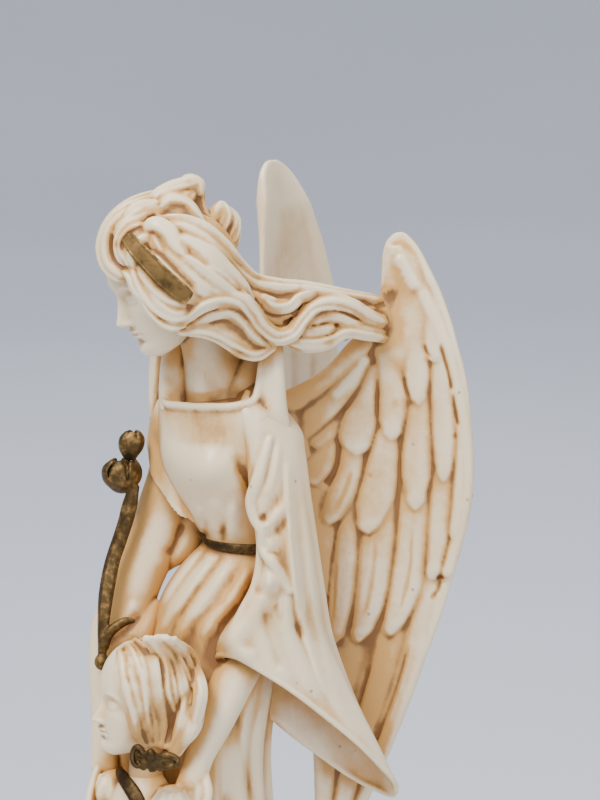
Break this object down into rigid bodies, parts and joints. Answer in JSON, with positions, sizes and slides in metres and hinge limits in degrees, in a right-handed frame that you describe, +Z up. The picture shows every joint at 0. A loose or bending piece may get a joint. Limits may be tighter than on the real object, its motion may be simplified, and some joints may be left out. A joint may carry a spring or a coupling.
{
  "type": "guardian angel figurine",
  "caption": "Cast figurine of a winged angel in a belted robe with a bell sleeve, leaning over a small praying girl on a low oval grassy base",
  "frame": {"origin": "centre of the flat underside of the base", "axes": "+Z up; +X to the side the near wing spreads, which is the viewer's right; -Y is the displayed front"},
  "size_m": [0.1215, 0.092, 0.2748],
  "materials": {
    "ivory_resin": "satin ivory resin with brown patina in the hollows"
  },
  "bodies": {
    "root": {"guardian_angel": "ivory_resin"}
  },
  "joints": []
}
